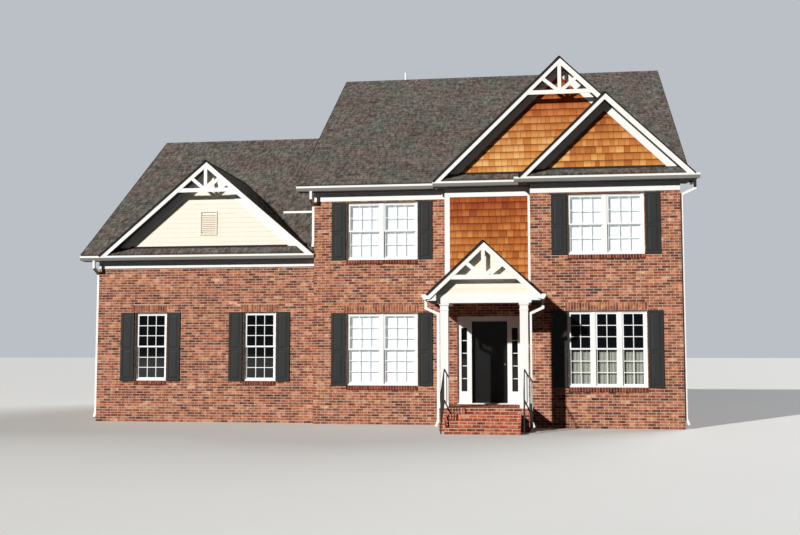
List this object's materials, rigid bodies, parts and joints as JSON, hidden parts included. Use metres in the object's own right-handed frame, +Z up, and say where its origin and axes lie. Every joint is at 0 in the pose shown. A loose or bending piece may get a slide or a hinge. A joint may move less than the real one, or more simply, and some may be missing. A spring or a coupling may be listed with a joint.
{
  "type": "detached house",
  "caption": "Detached two-storey brick house with a lower side wing, shingled front gables with trusses, shutters, and a gabled porch over a front door that opens.",
  "frame": {"origin": "centre of the bounding box's bottom, on the ground", "axes": "+X to the right along the street front, +Y from the front to the back, +Z up"},
  "size_m": [16.063, 16.347, 10.99],
  "materials": {
    "brick": "rough fired clay in lime mortar",
    "cedar_shingles": "stained, matte",
    "cream_siding": "painted board",
    "white_trim": "painted, satin",
    "white_windows": "satin",
    "white_metal": "satin",
    "asphalt_shingles": "rough granules",
    "floor_timber": "matte",
    "ceiling_plaster": "matte",
    "window_glass": "clear",
    "charcoal_paint": "satin",
    "black_paint": "painted, semi-gloss",
    "aged_brass": "aged",
    "black_iron": "painted"
  },
  "bodies": {
    "house": {"main_front_wall": "brick", "entry_piers": "brick", "entry_head_and_sill": "brick", "return_walls": "brick", "bay_front_wall": "brick", "right_wall": "brick", "back_wall": "brick", "left_wall": "brick", "wing_front_wall": "brick", "wing_left_wall": "brick", "wing_back_wall": "brick", "window_sills": "brick", "porch_floor": "brick", "porch_steps": "brick", "entry_shingle_wall": "cedar_shingles", "shingle_gable_walls": "cedar_shingles", "wing_gable_wall": "cream_siding", "side_gable_walls": "cream_siding", "porch_gable_wall": "cream_siding", "gable_vent": "cream_siding", "eave_boxes": "white_trim", "trim_boards": "white_trim", "barge_boards": "white_trim", "gable_trusses": "white_trim", "entry_frame": "white_trim", "porch_columns": "white_trim", "porch_beams": "white_trim", "front_windows": "white_windows", "side_windows": "white_windows", "gutters": "white_metal", "downspouts": "white_metal", "roof_fittings": "white_metal", "main_roof": "asphalt_shingles", "wing_roof": "asphalt_shingles", "big_gable_roof": "asphalt_shingles", "small_gable_roof": "asphalt_shingles", "wing_gable_roof": "asphalt_shingles", "porch_roof": "asphalt_shingles", "pent_roofs": "asphalt_shingles", "ground_floors": "floor_timber", "upper_floor": "floor_timber", "ceilings": "ceiling_plaster", "window_glass": "window_glass", "shutters": "charcoal_paint", "door_hinges": "black_iron", "handrails": "black_iron"},
    "front_door": {"front_door": "black_paint", "door_handle": "aged_brass"}
  },
  "joints": [
    {"name": "front_door_hinge", "type": "hinge", "parent": "house", "child": "front_door", "pos_m": [2.4755, -5.2465, 0.574], "axis": [0, 0, 1], "range_deg": [0, 100]}
  ]
}
